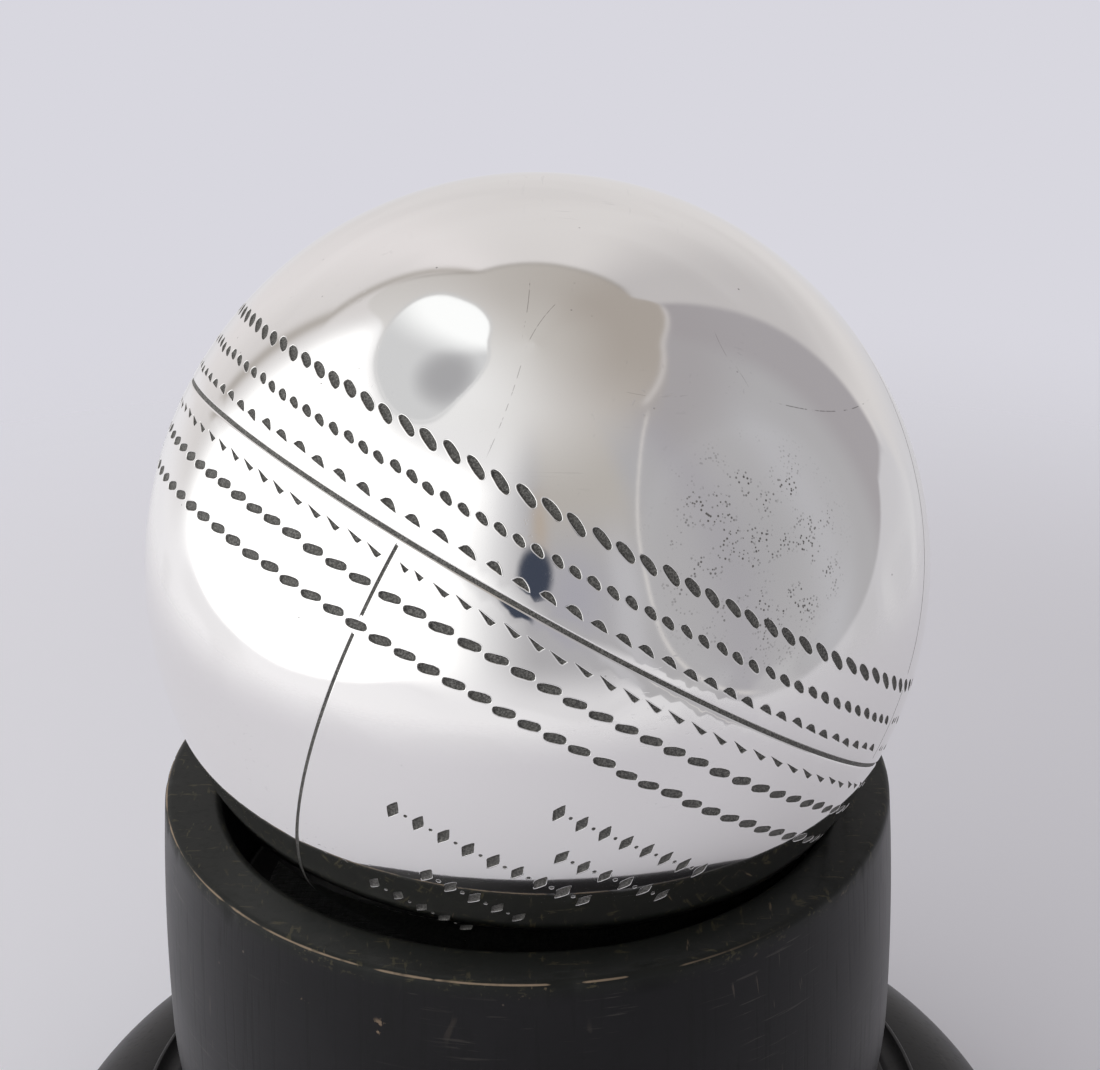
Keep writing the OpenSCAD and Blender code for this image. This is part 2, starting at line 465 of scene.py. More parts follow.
# Rings of a mark from outside in: share of its outline, distance out of it, height, inward slope, darkened
RINGS = (
    (1.0, 0.1, 0.0, 0.0, False),
    (1.0, 0.065, 0.005, -0.16, False),
    (1.0, 0.03, 0.004, 0.25, False),
    (1.0, 0.0, -0.02, 0.8, True),
    (0.82, 0.0, -0.10, 1.1, True),
    (0.62, 0.0, -0.14, 0.25, True),
)
MARK_DEPTH = 0.145
# The least metal between two marks of a row, and how unevenly the outlines are cut
BETWEEN_MARKS = 0.4
HAND_SHAKE = 0.01
# How unevenly marks are set: degrees along and across their row, degrees of slant, and spread of sizes
LON_SHAKE, LAT_SHAKE, SLANT_SHAKE = 0.1, 0.14, 2.5
LENGTHS, WIDTHS = (0.93, 1.06), (0.92, 1.06)


def superoval(long, wide, power, count):
    """Points round a rounded-off oval, from its right end."""
    out = []
    for i in range(count):
        t = 2 * math.pi * i / count
        c, s = math.cos(t), math.sin(t)
        out.append((
            long / 2 * math.copysign(abs(c) ** (2 / power), c),
            wide / 2 * math.copysign(abs(s) ** (2 / power), s),
        ))
    return out


def mark_outline(kind, long, wide, count):
    """The mark's outline about its middle: x along it, y to the north."""
    half = long / 2
    if kind == "long_grain":
        even = superoval(long, wide, 2.35, count)
        return [(x, y + 0.06 * (1 - (x / half) ** 2) - 0.03) for x, y in even]
    if kind == "short_grain":
        arched = [(x, y + 0.05 * (1 - (x / half) ** 2)) for x, y in superoval(long, wide, 2.2, count)]
        return [(x, y * (1 - 0.25 * x / half)) for x, y in arched]
    if kind in ("near_oval", "far_oval"):
        return [(x - 0.22 * y, y) for x, y in superoval(long, wide, 2.9, count)]
    return one_sided(kind, half, wide, count)


def one_sided(kind, half, wide, count):
    """The outline of a half moon, or of a drop: nearly straight on one side, and bulging on the other."""
    top = count // 2
    out = []
    for i in range(count):
        there = i <= top
        u = i / top if there else 1 - (i - top) / (count - top)
        x = half * (2 * u - 1)
        if kind == "half_moon":
            bulge = math.sin(math.pi * u ** 0.72) ** 0.85 if 0 < u < 1 else 0
            out.append((x, wide * (bulge if there else -0.05 * bulge) - wide * 0.36))
        else:
            bulge = 1.05 * u ** 1.1 * (1 - u ** 9) ** 0.6
            out.append((x, wide * (0.3 - (0.05 * bulge if there else bulge))))
    return out[::-1]


def unit(lat, lon):
    """The direction of a latitude and longitude in degrees, in the ball's own frame."""
    a, b = math.radians(lat), math.radians(lon)
    return Vector((math.cos(a) * math.cos(b), math.cos(a) * math.sin(b), math.sin(a)))


def tangents(direction):
    """East and north at a direction."""
    east = Vector((-direction.y, direction.x, 0))
    east = east.normalized() if east.length > 1e-6 else Vector((0, 1, 0))
    return east, direction.cross(east)


def beside(direction, east, north):
    """The direction that far, in millimetres along the surface, from another."""
    e, n = tangents(direction)
    return (direction + (e * east + n * north) / BALL_R).normalized()


# Lines beside a groove's edge: distance out, height, slope
GROOVE_LINES = [(0.07, 0.0, 0.0), (0.035, 0.004, 0.2), (0.0, -0.015, 0.6)]
GROOVE_DEPTH = 0.11
# Degrees from one point of a groove to the next, and the millimetres it keeps from a mark
GROOVE_STEP = 0.3
GROOVE_GAP = 0.15
DOT_SIZE = 0.34
# The first latitude of the even points, and how far they keep from the rest, as a share of their spacing
FILL_FROM = 0.9
FILL_GAP = 0.36
# The area for each even point, in squares of their spacing
EVEN_CELL = 0.87


class Hemisphere:
    """One shell's surface, laid out flat by stereographic projection and triangulated there."""

    def __init__(self, side):
        self.side = side
        self.flat = []
        self.ways = []
        self.heights = []
        self.falls = []
        self.dark = []
        self.edges = []

    def project(self, way):
        """A direction's place in the flat layout."""
        k = 1 / (1 + self.side * way.z)
        return Vector((way.x * k, way.y * k))

    def point(self, way, height=0.0, fall=None, dark=False):
        """Adds a point. fall points down the slope of the surface, and its length is the steepness."""
        self.flat.append(self.project(way))
        self.ways.append(way)
        self.heights.append(height)
        self.falls.append(fall or Vector((0, 0, 0)))
        self.dark.append(dark)
        return len(self.flat) - 1

    def loop(self, start):
        """Joins the points from start on into a closed line."""
        count = len(self.flat) - start
        self.edges += [(start + i, start + (i + 1) % count) for i in range(count)]
        return start

    def circle(self, lat, count, height=0.0, steep=0.0):
        """A line of points round a parallel, where the surface falls towards the seam."""
        start = len(self.flat)
        for i in range(count):
            way = unit(lat, 360 * i / count)
            self.point(way, height, tangents(way)[1] * (-self.side * steep))
        return self.loop(start)

    def finder(self):
        """A function that gives the millimetres from a direction to the nearest point so far."""
        tree = kdtree.KDTree(len(self.flat))
        for i, p in enumerate(self.flat):
            tree.insert((p.x, p.y, 0), i)
        tree.balance()

        def gap(way):
            p = self.project(way)
            return tree.find((p.x, p.y, 0))[2] * BALL_R * 2 / (1 + p.length_squared)

        return gap

    def mark(self, middle, outline, turn, depth=1.0, uneven=HAND_SHAKE):
        """An engraved mark with a burnished lip, sloping walls and a darkened floor."""
        c, s = math.cos(math.radians(turn)), math.sin(math.radians(turn))
        outline = [(x * c - y * s, x * s + y * c) for x, y in outline]
        outward = []
        for (ax, ay), (bx, by) in zip(outline[-1:] + outline[:-1], outline[1:] + outline[:1]):
            size = math.hypot(bx - ax, by - ay) or 1
            outward.append(((by - ay) / size, (ax - bx) / size))
        outline = [(x + random.gauss(0, uneven), y + random.gauss(0, uneven)) for x, y in outline]
        for share, reach, height, steep, dark in RINGS:
            start = len(self.flat)
            for (x, y), (nx, ny) in zip(outline, outward):
                way = beside(middle, x * share + nx * reach, y * share + ny * reach)
                east, north = tangents(way)
                inward = (east * nx + north * ny) * -steep
                self.point(way, height * depth if dark else height, inward, dark)
            self.loop(start)
        self.point(middle, -MARK_DEPTH * depth, None, True)

    def step_aside(self, lon, kind, groove_lon):
        """Moves a mark's place along its row, off the quarter seam. The outer rows are cut across it."""
        if kind in OUTER_ROWS:
            return lon
        clear = MARKS[kind][0] / 2 + BESIDE_SEAM
        aside = math.degrees(clear / BALL_R)
        for line in (groove_lon, groove_lon + 180):
            off = (lon - line + 180) % 360 - 180
            if abs(off) < aside:
                return lon + ASIDE_SHARE * (math.copysign(aside, off) - off)
        return lon

    def row(self, kind, groove_lon):
        """One row of stitch marks right round the ball, as uneven as hand work."""
        lat, marks, first, drift, waves, phase = ROWS[kind]
        long, wide, slant, count = MARKS[kind]
        pitch = 360 / marks
        uneven = 0.0 if kind == "drop" else HAND_SHAKE
        places = []
        for k in range(marks):
            base = first + k * pitch
            lon = base
            for _ in range(DRIFT_ROUNDS):
                lon = base + drift * math.sin(math.radians(waves * lon + phase))
            lon += random.uniform(-LON_SHAKE, LON_SHAKE)
            places.append(self.step_aside(lon, kind, groove_lon))
        for lon, before, after in zip(places, places[-1:] + places[:-1], places[1:] + places[:1]):
            room = min((lon - before) % 360, (after - lon) % 360)
            room = math.radians(room) * BALL_R * math.cos(math.radians(lat))
            most = (room * MARKS_OVERLAP.get(kind, 1) - BETWEEN_MARKS) / math.cos(math.radians(slant))
            size = min(long * random.uniform(*LENGTHS), most)
            outline = mark_outline(kind, size, wide * random.uniform(*WIDTHS), count)
            middle = unit(lat + random.uniform(-LAT_SHAKE, LAT_SHAKE), lon)
            turn = slant + random.uniform(-SLANT_SHAKE, SLANT_SHAKE)
            self.mark(middle, outline, turn, 1.0, uneven)

    def border(self, lat, start, end, pitch, tall, wide):
        """A row of small lozenges with a dot between each two, along a parallel."""
        lozenge = superoval(wide, tall, 1.15, 12)
        dot = superoval(DOT_SIZE, DOT_SIZE, 2, 8)
        count = int((end - start) / pitch)
        for k in range(count + 1):
            lon = start + pitch * k
            size = random.uniform(0.92, 1.05)
            outline = [(x * size, y * size) for x, y in lozenge]
            middle = unit(lat + random.uniform(-0.1, 0.1), lon)
            self.mark(middle, outline, random.uniform(-4, 4), depth=0.75, uneven=0.006)
            if k < count:
                self.mark(unit(lat, lon + pitch / 2), dot, 0, depth=0.6, uneven=0.004)

    def groove(self, lon, start, end, width, hole):
        """An engraved line along a meridian, over the pole, that stops at each mark and at the hole."""
        gap = self.finder()
        along = unit(0, lon)
        across = unit(0, lon + 90)
        up = Vector((0, 0, self.side))
        steps = int((end - start) / GROOVE_STEP)
        rows = []
        for k in range(steps + 1):
            t = math.radians(start + (end - start) * k / steps)
            middle = along * math.cos(t) + up * math.sin(t)
            if gap(middle) < width / 2 + GROOVE_GAP or abs(math.degrees(t) - 90) < hole:
                rows.append(None)
                continue
            row = [self.point(middle, -GROOVE_DEPTH, None, True)]
            for side in (1, -1):
                for out, height, steep in GROOVE_LINES:
                    way = (middle + across * (side * (width / 2 + out) / BALL_R)).normalized()
                    row.append(self.point(way, height, across * (-side * steep), out == 0))
            rows.append(row)
        for a, b in zip(rows, rows[1:]):
            if a and b:
                self.edges += list(zip(a, b))

    def fill(self, spacing, hole=0.0):
        """Even points wherever there is no engraving, from the seam's edge to the hole round the pole."""
        gap = self.finder()
        total = int(2 * math.pi * BALL_R ** 2 / (spacing ** 2 * EVEN_CELL))
        golden = math.pi * (3 - math.sqrt(5))
        low = math.sin(math.radians(FILL_FROM))
        for i in range(total):
            z = 1 - (1 - low) * (i + 0.5) / total
            lat = math.degrees(math.asin(z))
            way = unit(self.side * lat, math.degrees(golden * i) % 360)
            if 90 - lat > hole and gap(way) > FILL_GAP * spacing:
                self.point(way)

    def triangles(self):
        """The faces, turned outward. Fails if two engraved lines cross."""
        whole_hull, epsilon, want_ids = 0, 1e-8, True
        out = delaunay_2d_cdt(self.flat, self.edges, [], whole_hull, epsilon, want_ids)
        extra = len(out[0]) - len(self.flat)
        if extra:
            raise RuntimeError(f"engraved lines cross at {extra} points")
        source = [o[0] for o in out[3]]
        faces = [[source[c] for c in f] for f in out[2]]
        return faces if self.side > 0 else [f[::-1] for f in faces]


def ripple(way):
    """The sheet's own unevenness, in millimetres, in a direction of the ball's frame."""
    broad = noise.noise(way * 2.6 + Vector((3, 1, 7)))
    fine = noise.noise(way * 7.5 + Vector((11, 5, 2)))
    return 0.05 * broad + 0.008 * fine


def shell_point(way, height, fall):
    """The place and normal of the rippled surface in a direction."""
    step = 0.01
    here = ripple(way)
    normal = way + fall
    for tangent in tangents(way):
        there = ripple((way + tangent * step).normalized())
        normal += tangent * ((here - there) / (step * BALL_R))
    return way * (BALL_R + height + here), normal.normalized()


# The vent hole at the lower pole: its radius, and the same in degrees
VENT_R = 1.0
VENT = math.degrees(VENT_R / BALL_R)
# Points round the vent hole and the shell's edge, and the millimetres between even points
VENT_COUNT, EDGE_COUNT = 40, 720
OUTER_SPACING, INNER_SPACING = 1.0, 2.2
# The shell's edge beside the solder: distance from it, height, slope
SEAM_EDGE = ((0.0, -0.09, 1.0), (0.05, -0.02, 0.7), (0.12, 0.0, 0.1))
# The engraved border on the lower half: latitude, first and last longitude, spacing, height, width
BORDER = (
    (-22.0, 19.7, 49.0, 3.9, 1.9, 1.0),
    (-28.4, 25.0, 47.0, 4.2, 1.9, 1.0),
    (-34.2, -1.0, 35.0, 4.5, 2.0, 1.05),
    (-42.9, 10.0, 30.0, 5.0, 2.0, 1.05),
    (-51.5, 3.0, 30.0, 5.8, 2.0, 1.05),
)
# The rows of each shell, and its quarter seam: longitude, first and last angle from the seam line, width
UPPER_ROWS = ("long_grain", "short_grain", "half_moon")
UPPER_QUARTER = (71, 1.2, 178.8, 0.2)
LOWER_ROWS = ("drop", "near_oval", "far_oval")
LOWER_QUARTER = (-16.8, 0.5, 178.8, 0.3)


def engraved_side(side, rows, quarter):
    """The outside of one shell, and the first point of its vent hole's edge."""
    outer = Hemisphere(side)
    edge = math.degrees(SOLDER_HALF / BALL_R)
    for rise, height, steep in SEAM_EDGE:
        outer.circle(side * (edge + math.degrees(rise / BALL_R)), EDGE_COUNT, height, steep)
    for kind in rows:
        outer.row(kind, quarter[0])
    if side > 0:
        outer.groove(*quarter, 0)
        outer.fill(OUTER_SPACING)
        return outer, None
    for row in BORDER:
        outer.border(*row)
    vent = outer.circle(-90 + VENT, VENT_COUNT, -0.04, -0.5)
    outer.circle(-90 + VENT * 1.06, VENT_COUNT, 0.0, -0.1)
    outer.groove(*quarter, VENT * 1.3)
    outer.fill(OUTER_SPACING, VENT * 1.3)
    return outer, vent


def plain_side(side):
    """The inside of one shell, and the first point of its vent hole's edge."""
    inner = Hemisphere(side)
    inner.circle(side * math.degrees(SOLDER_HALF / BORE_R), EDGE_COUNT)
    if side > 0:
        inner.fill(INNER_SPACING)
        return inner, None
    vent = inner.circle(-90 + VENT * BALL_R / BORE_R, VENT_COUNT)
    inner.fill(INNER_SPACING, VENT * 1.6)
    return inner, vent


def sheet_faces(surface, vent):
    """The faces of one side of a shell, with its vent hole left open."""
    faces = surface.triangles()
    if vent is None:
        return faces
    rim = range(vent, vent + VENT_COUNT)
    return [f for f in faces if not all(c in rim for c in f)]


def make_shell(name, side, rows, quarter, node, materials):
    """One hemisphere of sheet silver, engraved outside and plain inside."""
    outer, outer_vent = engraved_side(side, rows, quarter)
    inner, inner_vent = plain_side(side)
    points = []
    normals = []
    turn = BALL.to_3x3()
    for way, height, fall in zip(outer.ways, outer.heights, outer.falls):
        spot, normal = shell_point(way, height, fall)
        points.append(BALL @ spot)
        normals.append(turn @ normal)
    faces = sheet_faces(outer, outer_vent)
    slots = [int(all(outer.dark[c] for c in f)) for f in faces]
    base = len(points)
    points += [BALL @ (way * BORE_R) for way in inner.ways]
    normals += [turn @ -way for way in inner.ways]
    faces += [[base + c for c in reversed(f)] for f in sheet_faces(inner, inner_vent)]
    faces += edge_band(0, base, EDGE_COUNT, side > 0)
    if outer_vent is not None:
        faces += edge_band(outer_vent, base + inner_vent, VENT_COUNT, side < 0)
    slots += [0] * (len(faces) - len(slots))
    shell = place(name, build_mesh(name, points, faces, slots, normals), materials)
    finish_piece(shell, "ball", node)


def edge_band(outer, inner, count, forward):
    """Faces across the thickness of the sheet, between two rings of points."""
    band = []
    for i in range(count):
        j = (i + 1) % count
        face = (outer + i, inner + i, inner + j, outer + j)
        band.append(face if forward else face[::-1])
    return band


def finish_piece(piece, body, node):
    """Puts a piece in place of its CAD node, on its body."""
    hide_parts(node)
    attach(piece, body)


# ---- the turned plinth
RIM_Z = column_hi.z / MM
BELLY_R = column_hi.x / MM
FOOT_R = foot_hi.x / MM
FLOOR_Z = felt_lo.z / MM
SPIGOT_Z = column_lo.z / MM
NECK_Z = SPIGOT_Z + 12
SPIGOT_R, PILOT_R = 12, 2.16
RIM_R = BELLY_R - 1.0
BELLY_Z = RIM_Z - 24
NECK_R = 31.6
RECESS_R, LIP_R, EDGE_R = 29.4, 1.2, 0.7
RING_Z = RIM_Z - 40
RING_R = 40.6
BASE_Z = foot_lo.z / MM
TURNED_SIDES = 480


def settle(angle, r, z):
    """The slight movement of old wood, with knocks along the rim's outer edge."""
    around = Vector((math.cos(angle), math.sin(angle), z * 0.03))
    drift = 0.04 * noise.noise(around * 1.7)
    knock = 0.0
    on_outer_edge = abs(z - RIM_Z + 0.3) < 0.6 and r > RIM_R - 1.2
    if on_outer_edge:
        dent = noise.noise(around * 9 + Vector((4, 2, 0))) - 0.28
        chip = noise.noise(around * 34 + Vector((1, 8, 0))) - 0.38
        knock = 0.5 * max(0, dent) + 0.35 * max(0, chip)
    return drift - knock, -knock * 0.8


def make_column(material):
    """The drum, with its recess on top and its spigot below."""
    swell = BELLY_R - RIM_R
    drum = RIM_Z - EDGE_R - BELLY_Z
    deep = RIM_Z - LIP_R - FLOOR_Z
    side = [(BELLY_R - swell * (i / 30) ** 2, BELLY_Z + drum * (i / 30)) for i in range(1, 30)]
    flat = [(RIM_R - EDGE_R - 0.35 * i, RIM_Z) for i in range(1, 6)]
    wall = [(RECESS_R, RIM_Z - LIP_R - deep * i / 12) for i in range(1, 12)]
    pilot_z, bevel, fillet = NECK_Z + 18, 0.4, 0.5
    outline = (
        [(0, pilot_z), (PILOT_R, pilot_z - 1), (PILOT_R, SPIGOT_Z)]
        + [(SPIGOT_R - bevel, SPIGOT_Z), (SPIGOT_R, SPIGOT_Z + bevel), (SPIGOT_R, NECK_Z), (NECK_R, NECK_Z)]
        + arc(NECK_R, BELLY_Z, BELLY_R - NECK_R, BELLY_Z - NECK_Z, -84, 0, 24)
        + side
        + arc(RIM_R - EDGE_R, RIM_Z - EDGE_R, EDGE_R, EDGE_R, 0, 90, 7)
        + flat
        + arc(RECESS_R + LIP_R, RIM_Z - LIP_R, LIP_R, LIP_R, 90, 180, 14)
        + wall
        + arc(RECESS_R - fillet, FLOOR_Z + fillet, fillet, fillet, 0, -90, 4)
        + [(20, FLOOR_Z), (10, FLOOR_Z), (0, FLOOR_Z)]
    )
    mesh = lathe_mesh("turned_column", outline, TURNED_SIDES, settle)
    column = place("turned_column", mesh, [material])
    finish_piece(column, "plinth", "plinth_column")


def make_foot(material):
    """The moulded foot: fillet, cove, ring edge, ovolo and base edge, with a socket for the spigot."""
    fillet_r, fillet_z = 37.2, RING_Z + 0.5
    ovolo_r, ovolo_z = RING_R + 0.6, RING_Z - 2.8
    cove_r, cove_depth = RING_R - 0.5, 0.9
    cove = []
    for i in range(13):
        t = i / 12
        cove.append((cove_r - t * (cove_r - fillet_r), RING_Z - cove_depth * math.sin(math.pi * t) ** 0.8))
    socket_r, socket_z = SPIGOT_R + 0.06, SPIGOT_Z - 0.5
    screw_r, sink_r, sink_z, base = 2.4, 4.5, BASE_Z + 3, 0.8
    outline = (
        [(sink_r, BASE_Z), (20, BASE_Z), (FOOT_R - base, BASE_Z)]
        + arc(FOOT_R - base, BASE_Z + base, base, base, -80, 0, 6)
        + arc(ovolo_r, ovolo_z - 10, FOOT_R - ovolo_r, 10, 4, 90, 30)
        + [(RING_R + 0.05, ovolo_z + 0.15), (RING_R, ovolo_z + 0.5)]
        + arc(RING_R - 0.4, RING_Z - 0.4, 0.4, 0.4, 0, 90, 5)
        + cove
        + arc(fillet_r - 0.25, fillet_z - 0.25, 0.25, 0.25, 0, 90, 4)
        + arc(fillet_r - 0.3, NECK_Z, fillet_r - 1.5 - NECK_R, NECK_Z - fillet_z, -90, -180, 10)
        + [(socket_r, NECK_Z), (socket_r, socket_z), (screw_r, socket_z), (screw_r, sink_z)]
    )

    def drift(angle, r, z):
        return settle(angle, 0, z)[0], 0

    mesh = lathe_mesh("moulded_foot", outline, TURNED_SIDES, drift, True)
    foot = place("moulded_foot", mesh, [material])
    finish_piece(foot, "plinth", "plinth_foot")


# The air left between a cloth's lower face and what it lies on, and the height of a cloth's nap
CLOTH_GAP, NAP = 0.03, 0.05
CLOTH_RINGS, CLOTH_SIDES = 44, 260


def make_disc(name, radius, low, high, middle_x, material):
    """A cut disc of cloth with a soft uneven nap on both faces and a slightly frayed edge."""
    thick = high - low
    rings = [radius * (i / CLOTH_RINGS) for i in range(1, CLOTH_RINGS)]
    lower = [(0, low + CLOTH_GAP)] + [(r, low) for r in rings]
    bevel = radius - 0.02
    edge = [(bevel, low + thick * 0.25), (radius, low + thick * 0.5), (bevel, high - thick * 0.25)]
    upper = [(r, high) for r in reversed(rings)] + [(0, high)]

    def fray(angle, r, z):
        spot = Vector((r * math.cos(angle), r * math.sin(angle), z))
        lift = abs(NAP * noise.noise(spot * 1.9))
        rim = 0.12 * noise.noise(spot * 1.3) - 0.12 if r > radius * 0.97 else 0
        return rim, (-lift if z > (low + high) / 2 else lift + CLOTH_GAP)

    mesh = lathe_mesh(name, lower + edge + upper, CLOTH_SIDES, fray)
    for vertex in mesh.vertices:
        vertex.co.x += middle_x * MM
    return place(name, mesh, [material])


# ---- materials
class Finish:
    """A material under construction, with the noises and masks it needs."""

    def __init__(self, name):
        self.material, self.tree, self.surface = new_material(name)
        self.spot = add(self.tree, "ShaderNodeTexCoord").outputs["Object"]
        split = add(self.tree, "ShaderNodeSeparateXYZ", Vector=self.spot)
        self.x, self.y, self.z = (Field(self.tree, s) for s in split.outputs)

    def paint(self, base, colour, mask):
        return paint(self.tree, base, colour, mask)

    def noise(self, scale, detail=2.0, turn=(0, 0, 0)):
        """Noise whose features are about 1 / scale metres, which may differ by axis."""
        scales = scale if isinstance(scale, tuple) else (scale,) * 3
        mapped = add(self.tree, "ShaderNodeMapping", Vector=self.spot, Rotation=turn, Scale=scales)
        node = add(self.tree, "ShaderNodeTexNoise", Vector=mapped.outputs[0], Scale=1.0, Detail=detail)
        return Field(self.tree, node.outputs["Fac"])

    def specks(self, scale, size):
        """Small round specks, at most one per cell."""
        node = add(self.tree, "ShaderNodeTexVoronoi", Vector=self.spot, Scale=scale)
        return Field(self.tree, node.outputs["Distance"]).fall(size * 0.6, size)

    def near(self, place_at, radius):
        """1 at a place in millimetres, falling off over the radius."""
        apart = vector_op(self.tree, "DISTANCE", self.spot, tuple(c * MM for c in place_at))
        return apart.fall(0, radius * MM)

    def along(self, direction, origin):
        """How far each point is past an origin in a direction, in millimetres."""
        return vector_op(self.tree, "DOT_PRODUCT", self.spot, direction) / MM - direction.dot(origin)

    def streak(self, start, end, sag, width):
        """A thin scratch between two directions of the ball, with tapering ends."""
        turn = BALL.to_3x3()
        start, end = turn @ start, turn @ end
        middle = (start + end).normalized()
        origin = BALL.translation + middle * BALL_R
        run = (end - start).normalized()
        half = (end - start).length * BALL_R / 2
        s = self.along(run, origin)
        across = self.along(middle.cross(run), origin)
        bend = (s / half) ** 2 * sag - sag
        taper = s.op("ABSOLUTE").fall(half * 0.7, half)
        front = self.along(middle, origin).rise(-8, -6)
        return (across - bend).peak(0, width) * taper * front

    def close(self, **inputs):
        """Ends the material in one Principled shader with these inputs."""
        shader = add(self.tree, "ShaderNodeBsdfPrincipled", **inputs)
        self.tree.links.new(shader.outputs[0], self.surface)
        return self.material

    def bump(self, field, distance, strength):
        """Normals for a relief, whose height is this many metres."""
        node = add(self.tree, "ShaderNodeBump", Strength=strength, Distance=distance, Height=field)
        return node.outputs[0]


# Hairline scratches: from and to, as latitude and longitude, sag to the left of the way, width, strength
SCRATCHES = (
    ((40.5, 20.3), (51.0, 52.0), 1.5, 0.045, 0.8),
    ((39.4, -26.0), (29.3, -18.3), -0.2, 0.03, 0.7),
    ((38.2, -18.5), (29.0, -17.2), 0.25, 0.03, 0.6),
    ((29.0, -17.2), (13.5, -12.6), -0.3, 0.03, 0.6),
    ((47.0, 7.2), (43.6, 11.5), 0.1, 0.025, 0.5),
    ((43.8, 11.5), (40.9, 16.8), -0.1, 0.025, 0.5),
    ((30.7, -2.1), (35.2, 7.6), 0.4, 0.03, 0.3),
    ((55.0, -6.5), (56.5, -4.0), 0.05, 0.05, 0.8),
)
# The latitude and longitude of the middle of the pitted patch
PITTED = (20.5, 26.5)


def silver_material():
    """Polished silver with hairline scratches and a patch of fine pitting."""
    m = Finish("polished_silver")
    broken = m.noise(75).rise(0.48, 0.66)
    hairs = m.noise((2300, 26, 2300), 2, (0.3, 0.2, 0.9)).rise(0.67, 0.73)
    hairs = hairs + m.noise((26, 2100, 2100), 2, (0.9, 0.5, -0.4)).rise(0.68, 0.74)
    hairs = (hairs * broken).op("MINIMUM", 1)
    cuts = []
    for start, end, sag, width, strength in SCRATCHES:
        cuts.append(m.streak(unit(*start), unit(*end), sag, width) * strength)
    cuts = sum(cuts[1:], cuts[0]) * m.noise(1100, 3).rise(0.44, 0.56)
    cuts = cuts.op("MINIMUM", 1)
    brushed = m.noise((1500, 60, 1500), 3, (0.1, 0.4, 0.2))
    haze = m.noise(45, 4).rise(0.35, 0.75)
    pitted_at = BALL @ (unit(*PITTED) * BALL_R)
    patch = m.near(pitted_at, 12.5).rise(0.0, 0.5) * m.noise(330).rise(0.42, 0.6)
    pits = m.specks(3100, 0.38) * patch * m.noise(1100).rise(0.4, 0.52)
    few = m.specks(600, 0.07) * m.noise(120).rise(0.55, 0.7)
    pits = (pits + few).op("MINIMUM", 1)
    halo = m.near(pitted_at, 24).peak(0.62, 0.06)
    colour = m.paint((0.942, 0.93, 0.914), (0.83, 0.82, 0.81), hairs * 0.6)
    colour = m.paint(colour, (0.85, 0.845, 0.835), m.near(pitted_at, 9) * 0.6)
    colour = m.paint(colour, (0.99, 0.985, 0.97), halo * 0.5)
    colour = m.paint(colour, (0.15, 0.14, 0.13), pits * 0.9)
    colour = m.paint(colour, (0.12, 0.11, 0.10), cuts * 0.85)
    rough = haze * 0.03 + hairs * 0.1 + brushed * 0.03 + 0.02 + pits * 0.4 + m.near(pitted_at, 10) * 0.05
    relief = hairs * -1 + brushed * 0.25 - pits * 2 - cuts
    return m.close(Base_Color=colour, Metallic=1.0, Roughness=rough, Normal=m.bump(relief, 0.00001, 0.25))


def oxide_material():
    """Darkened silver in the bottom of the engraving, matted by the tool."""
    m = Finish("oxidised_silver")
    speckle = m.noise(6500, 2).rise(0.38, 0.66)
    patches = m.noise(900, 2).rise(0.4, 0.65)
    colour = m.paint((0.062, 0.061, 0.057), (0.22, 0.215, 0.20), speckle * 0.8)
    colour = m.paint(colour, (0.09, 0.087, 0.078), patches * 0.4)
    return m.close(Base_Color=colour, Metallic=0.35, Roughness=0.55, Normal=m.bump(speckle, 0.00003, 0.6))


# Where the black is chipped off the drum: place and reach, in millimetres
CHIPPED = (
    ((-19.5, -29.8, 52.5), 1.1),
    ((-12.5, -33.2, 52.2), 1.5),
    ((22.4, -26.4, 57.6), 1.0),
    ((20.0, -29.2, 57.0), 1.2),
    ((5.0, 35.3, 40.0), 1.2),
    ((-30.0, 18.5, 48.0), 1.2),
)
BLACK_FINISH = dict(IOR=1.3, Coat_Weight=0.13, Coat_Roughness=0.24, Coat_IOR=1.35)


def wood_material(name, is_drum):
    """Ebonised wood under a satin finish with wear. The drum has chips and a rubbed rim as well, with a
    painted highlight along the rim's edge on the left.
    """
    m = Finish(name)
    pores = m.noise((1500, 1500, 45), 3).rise(0.52, 0.7)
    cloud = m.noise(60, 4)
    turning = m.noise((25, 25, 2600), 2)
    colour = m.paint((0.0024, 0.0022, 0.0030), (0.0054, 0.0050, 0.0062), cloud.rise(0.35, 0.7))
    colour = m.paint(colour, (0.0015, 0.0015, 0.0015), pores * 0.5)
    flecks = m.specks(260, 0.05) * m.noise(70).rise(0.52, 0.66)
    rubs = m.noise((160, 2400, 160), 2, (0.4, 0.2, 1.1)).rise(0.69, 0.74) * m.noise(90).rise(0.5, 0.62)
    light = (flecks + rubs * 0.5).op("MINIMUM", 1)
    colour = m.paint(colour, (0.11, 0.088, 0.07), light * 0.7)
    rough = cloud * 0.2 + pores * 0.04 + 0.3
    if is_drum:
        chips = [m.near(spot, reach).rise(0.1, 0.6) for spot, reach in CHIPPED]
        chips = sum(chips[1:], chips[0]) * m.noise(1300, 3).rise(0.56, 0.64)
        chips = chips.op("MINIMUM", 1)
        colour = m.paint(colour, (0.23, 0.165, 0.11), chips * 0.75)
    scuffs = m.noise((190, 190, 3400), 3, (0.05, 0.08, 0)).rise(0.62, 0.70) * m.noise(90).rise(0.45, 0.6)
    colour = m.paint(colour, (0.045, 0.04, 0.036), scuffs * 0.6)
    if is_drum:
        colour, rough = worn_and_highlit_rim(m, colour, rough)
    relief = pores * -0.45 + turning * 0.5 + cloud * 0.3
    return m.close(Base_Color=colour, Roughness=rough, Normal=m.bump(relief, 0.00004, 0.3), **BLACK_FINISH)


